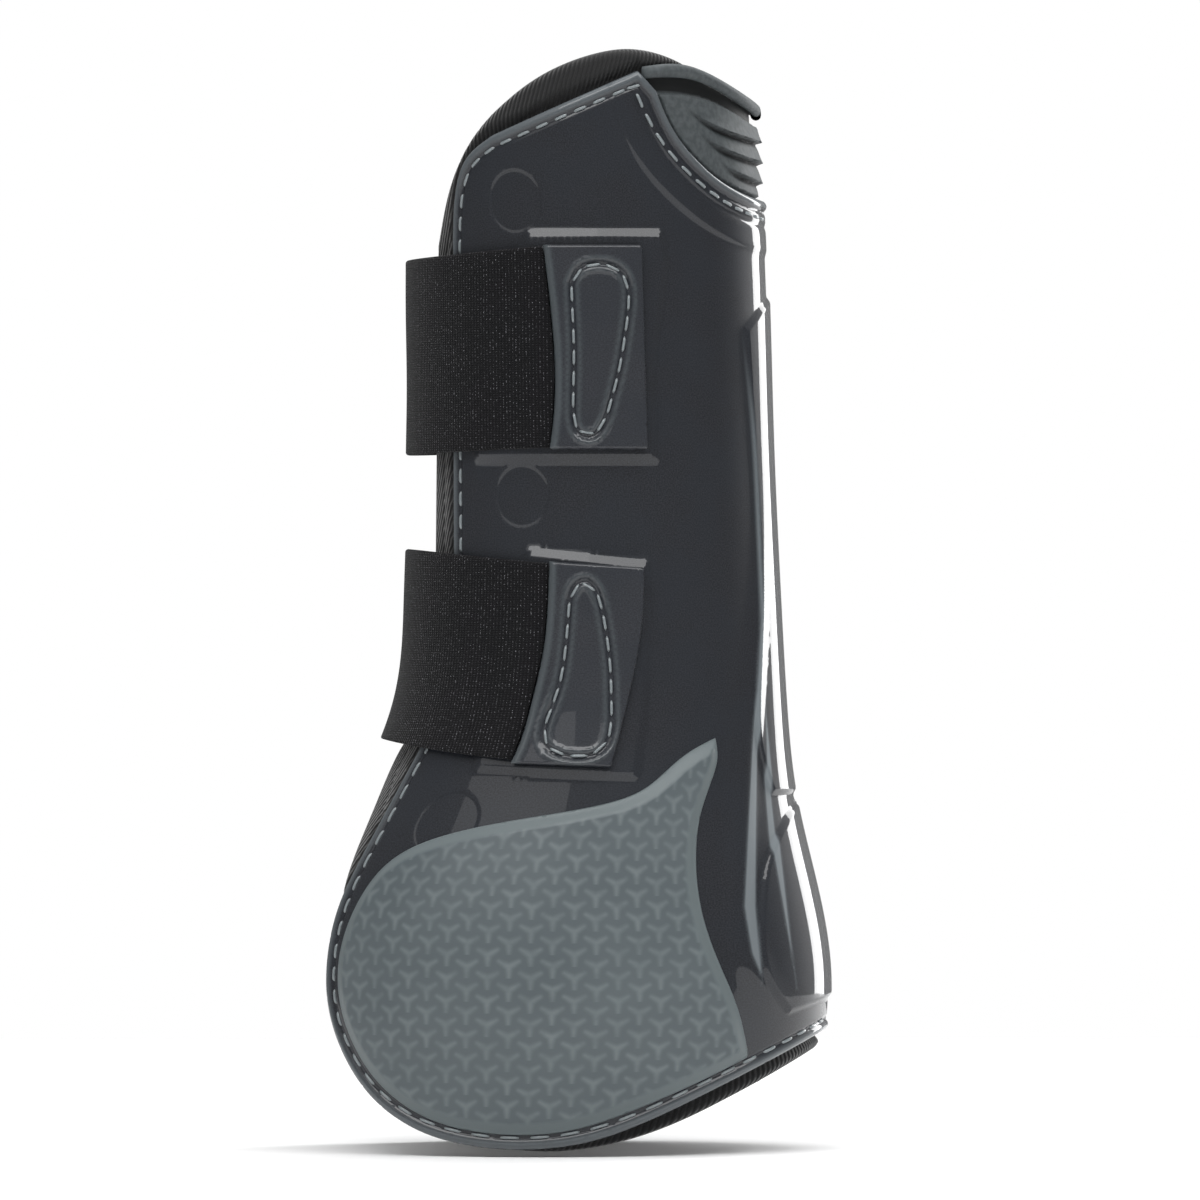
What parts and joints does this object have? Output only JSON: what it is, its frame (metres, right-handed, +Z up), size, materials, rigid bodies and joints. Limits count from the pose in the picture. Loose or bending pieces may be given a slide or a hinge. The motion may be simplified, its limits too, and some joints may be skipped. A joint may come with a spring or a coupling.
{
  "type": "tendon boots",
  "caption": "Open-front tendon boot for a horse's foreleg: glossy moulded shell over a foam lining, padded fetlock, vented top and elastic strap closures.",
  "frame": {"origin": "on the leg's axis, level with the lowest point of the boot", "axes": "+Z up the leg, +X to the back of the leg, -Y to the outer side of the leg"},
  "size_m": [0.1295, 0.112, 0.279],
  "materials": {
    "shell_plastic": "clear glossy moulded plastic",
    "backing_textile": "fine dark weave",
    "lining_knit": "matt ribbed knit over foam",
    "binding_knit": "matt ribbed knit tape",
    "pad_plastic": "milky glossy plastic",
    "vent_rubber": "satin rubber",
    "tab_plastic": "clear glossy plastic over tape",
    "strap_elastic": "ribbed woven elastic",
    "hook_loop_tape": "hook and loop tape",
    "thread": "grey sewing thread"
  },
  "bodies": {
    "boot": {"outer_shell": "shell_plastic", "backing_fabric": "backing_textile", "foam_lining": "lining_knit", "lining_binding": "binding_knit", "fetlock_pad_lateral": "pad_plastic", "fetlock_pad_medial": "pad_plastic", "vent_louvre": "vent_rubber", "vent_rim": "vent_rubber", "hem_stitching": "thread", "vent_stitching": "thread", "loop_patch_upper": "hook_loop_tape", "strap_anchor_upper": "strap_elastic", "anchor_stitching_upper": "thread", "loop_patch_lower": "hook_loop_tape", "strap_anchor_lower": "strap_elastic", "anchor_stitching_lower": "thread"},
    "strap_upper": {"elastic_strap_upper": "strap_elastic"},
    "tab_upper": {"strap_tab_upper": "tab_plastic", "hook_patch_upper": "hook_loop_tape", "tab_stitching_upper": "thread"},
    "strap_lower": {"elastic_strap_lower": "strap_elastic"},
    "tab_lower": {"strap_tab_lower": "tab_plastic", "hook_patch_lower": "hook_loop_tape", "tab_stitching_lower": "thread"}
  },
  "joints": [
    {"name": "strap_upper_swing", "type": "hinge", "parent": "boot", "child": "strap_upper", "pos_m": [-0.0339, 0.02719, 0.2008], "axis": [0, -0.0126, -0.9999], "range_deg": [0, 140]},
    {"name": "tab_upper_peel", "type": "hinge", "parent": "strap_upper", "child": "tab_upper", "pos_m": [-0.006, -0.04169, 0.20345], "axis": [0, 0.014, -0.9999], "range_deg": [0, 70]},
    {"name": "strap_lower_swing", "type": "hinge", "parent": "boot", "child": "strap_lower", "pos_m": [-0.0339, 0.03096, 0.128], "axis": [0, 0.1496, -0.9888], "range_deg": [0, 140]},
    {"name": "tab_lower_peel", "type": "hinge", "parent": "strap_lower", "child": "tab_lower", "pos_m": [-0.0104, -0.04375, 0.12395], "axis": [-0.1861, -0.0836, -0.979], "range_deg": [0, 70]}
  ]
}
